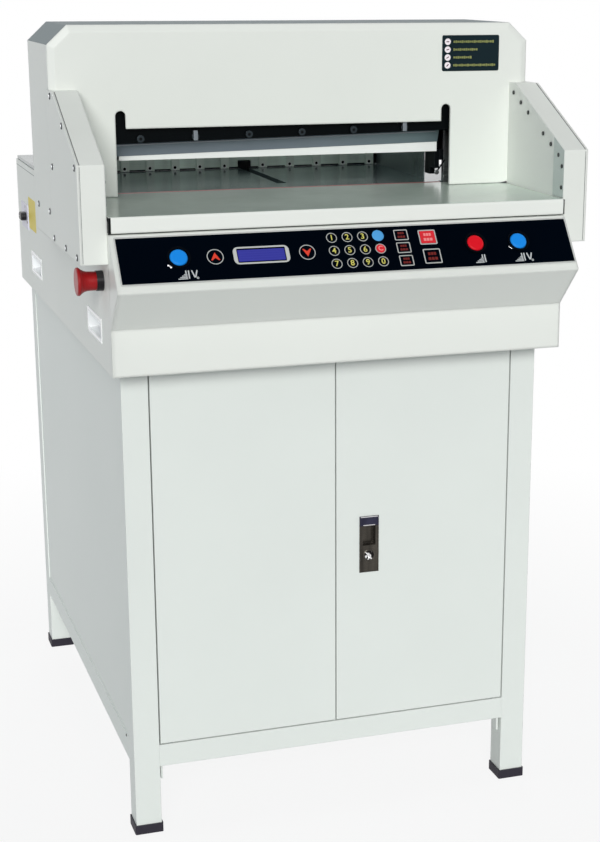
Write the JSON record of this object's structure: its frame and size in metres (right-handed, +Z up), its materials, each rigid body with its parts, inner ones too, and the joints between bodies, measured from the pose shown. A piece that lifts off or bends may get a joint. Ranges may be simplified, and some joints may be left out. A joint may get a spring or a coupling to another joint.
{
  "type": "electric paper cutter",
  "caption": "Electric paper cutter with programmable back gauge, powered knife and clamp, push-button console, guard arms and emergency stop, on a cabinet stand with doors and a lock",
  "frame": {"origin": "on the floor under the middle of the whole machine", "axes": "+Z up, -Y towards the operator at the console, +X to the operator's right"},
  "size_m": [0.6914, 0.8676, 1.091],
  "materials": {
    "white_paint": "semi-gloss",
    "rubber_feet": "matt",
    "steel": "satin",
    "lock_chrome": "polished",
    "table_grey": "semi-gloss",
    "table_dark": "satin",
    "guide_steel": "satin",
    "frame_iron": "matt",
    "knife_steel": "ground",
    "carrier_paint": "semi-gloss",
    "clamp_alloy": "machined",
    "guide_black": "satin",
    "comb_alloy": "machined",
    "motor_black": "satin",
    "stick_red": "matt",
    "panel_black": "gloss",
    "display_blue": "gloss",
    "bezel_chrome": "polished",
    "button_blue": "gloss",
    "button_red": "gloss",
    "board_green": "matt",
    "collar_black": "gloss",
    "stem_black": "gloss",
    "switch_white": "satin"
  },
  "bodies": {
    "frame": {"arm_covers": "white_paint", "bed_beam": "table_dark", "bottom_rails": "white_paint", "button_bezels": "bezel_chrome", "cabinet_floor": "white_paint", "cabinet_panels": "white_paint", "carry_cups": "white_paint", "case_screws": "steel", "clamp_gearmotor": "motor_black", "clamp_guides": "guide_black", "console_shell": "white_paint", "control_board": "board_green", "control_panel": "panel_black", "cutting_stick": "stick_red", "display_window": "display_blue", "estop_collar": "collar_black", "front_table": "table_grey", "gantry_beam": "frame_iron", "gantry_front_cover": "white_paint", "gantry_rear_cover": "white_paint", "gauge_motor": "motor_black", "gauge_rods": "steel", "hinge_pins": "steel", "housing_back": "white_paint", "housing_left": "white_paint", "housing_right": "white_paint", "knife_gearmotor": "motor_black", "left_arm": "white_paint", "rear_table": "table_dark", "rear_tie": "frame_iron", "right_arm": "white_paint", "rubber_feet": "rubber_feet", "sensor_windows": "stem_black", "side_frames": "frame_iron", "side_guides": "guide_steel", "stand_legs": "white_paint", "stand_top_plate": "white_paint", "switch_plate": "switch_white"},
    "left_door": {"left_door": "white_paint"},
    "right_door": {"right_door": "white_paint", "lock_plate": "lock_chrome"},
    "lock": {"lock_cylinder": "steel"},
    "knife_block": {"knife_pivot_pin": "steel", "pull_rod": "steel"},
    "knife": {"knife_carrier": "carrier_paint", "knife_blade": "knife_steel", "knife_bolts": "steel"},
    "lever": {"knife_lever": "steel"},
    "clamp": {"clamp_beam": "clamp_alloy", "clamp_guide_rods": "steel"},
    "clamp_screw": {"clamp_screw": "steel"},
    "gauge": {"back_gauge": "comb_alloy", "gauge_bracket": "guide_black"},
    "gauge_screw": {"gauge_screw": "steel"},
    "cut_left": {"cut_button_left": "button_blue"},
    "cut_right": {"cut_button_right": "button_blue"},
    "clamp_press": {"clamp_button": "button_red"},
    "stop_stem": {"estop_stem": "stem_black"},
    "stop_head": {"estop_button": "button_red"},
    "power": {"power_knob": "stem_black"}
  },
  "joints": [
    {"name": "left_door_hinge", "type": "hinge", "parent": "frame", "child": "left_door", "pos_m": [-0.2407, -0.33295, 0.334], "axis": [0, 0, -1], "range_deg": [0, 105]},
    {"name": "right_door_hinge", "type": "hinge", "parent": "frame", "child": "right_door", "pos_m": [0.2407, -0.33295, 0.334], "axis": [0, 0, 1], "range_deg": [0, 105]},
    {"name": "lock_turn", "type": "hinge", "parent": "right_door", "child": "lock", "pos_m": [0.0484, -0.33995, 0.3753], "axis": [0, 1, 0], "range_deg": [0, 90]},
    {"name": "knife_slide", "type": "slide", "parent": "frame", "child": "knife_block", "axis": [0.4594, 0, -0.8882], "range_m": [0, 0.0653]},
    {"name": "knife_tilt", "type": "hinge", "parent": "knife_block", "child": "knife", "pos_m": [0.238, -0.17705, 1.036], "axis": [0, 1, 0], "range_deg": [0, 0.936]},
    {"name": "knife_lever_turn", "type": "hinge", "parent": "frame", "child": "lever", "pos_m": [0.18577, -0.15505, 0.751], "axis": [0, 1, 0], "range_deg": [0, 60]},
    {"name": "clamp_slide", "type": "slide", "parent": "frame", "child": "clamp", "axis": [0, 0, -1], "range_m": [0, 0.0435]},
    {"name": "clamp_screw_turn", "type": "hinge", "parent": "frame", "child": "clamp_screw", "pos_m": [-0.0175, -0.11505, 0.925], "axis": [0, 0, 1], "range_deg": [-10, 1576]},
    {"name": "gauge_slide", "type": "slide", "parent": "frame", "child": "gauge", "axis": [0, 1, 0], "range_m": [-0.202, 0.2]},
    {"name": "gauge_screw_turn", "type": "hinge", "parent": "frame", "child": "gauge_screw", "pos_m": [-0.002, 0.10595, 0.818], "axis": [0, 1, 0], "range_deg": [-3640, 3610]},
    {"name": "cut_left_press", "type": "slide", "parent": "frame", "child": "cut_left", "axis": [0, 0.7914, -0.6113], "range_m": [0, 0.004], "stiffness_N_per_m": 1250},
    {"name": "cut_right_press", "type": "slide", "parent": "frame", "child": "cut_right", "axis": [0, 0.7914, -0.6113], "range_m": [0, 0.004], "stiffness_N_per_m": 1250},
    {"name": "clamp_button_press", "type": "slide", "parent": "frame", "child": "clamp_press", "axis": [0, 0.7914, -0.6113], "range_m": [0, 0.004], "stiffness_N_per_m": 1250},
    {"name": "stop_press", "type": "slide", "parent": "frame", "child": "stop_stem", "axis": [1, 0, 0], "range_m": [0, 0.005], "stiffness_N_per_m": 2500},
    {"name": "stop_twist", "type": "hinge", "parent": "stop_stem", "child": "stop_head", "pos_m": [-0.3095, -0.33585, 0.7806], "axis": [1, 0, 0], "range_deg": [0, 45], "stiffness_Nm_per_rad": 0.13},
    {"name": "power_turn", "type": "hinge", "parent": "frame", "child": "power", "pos_m": [-0.3095, 0.32895, 0.777], "axis": [-1, 0, 0], "range_deg": [0, 90]}
  ],
  "couplings": [
    {"joint": "knife_tilt", "follows": "knife_slide", "rad_per_m": 0.25017},
    {"joint": "knife_lever_turn", "follows": "knife_slide", "rad_per_m": 16.037},
    {"joint": "clamp_screw_turn", "follows": "clamp_slide", "rad_per_m": 628.32},
    {"joint": "gauge_screw_turn", "follows": "gauge_slide", "rad_per_m": 314.16}
  ]
}
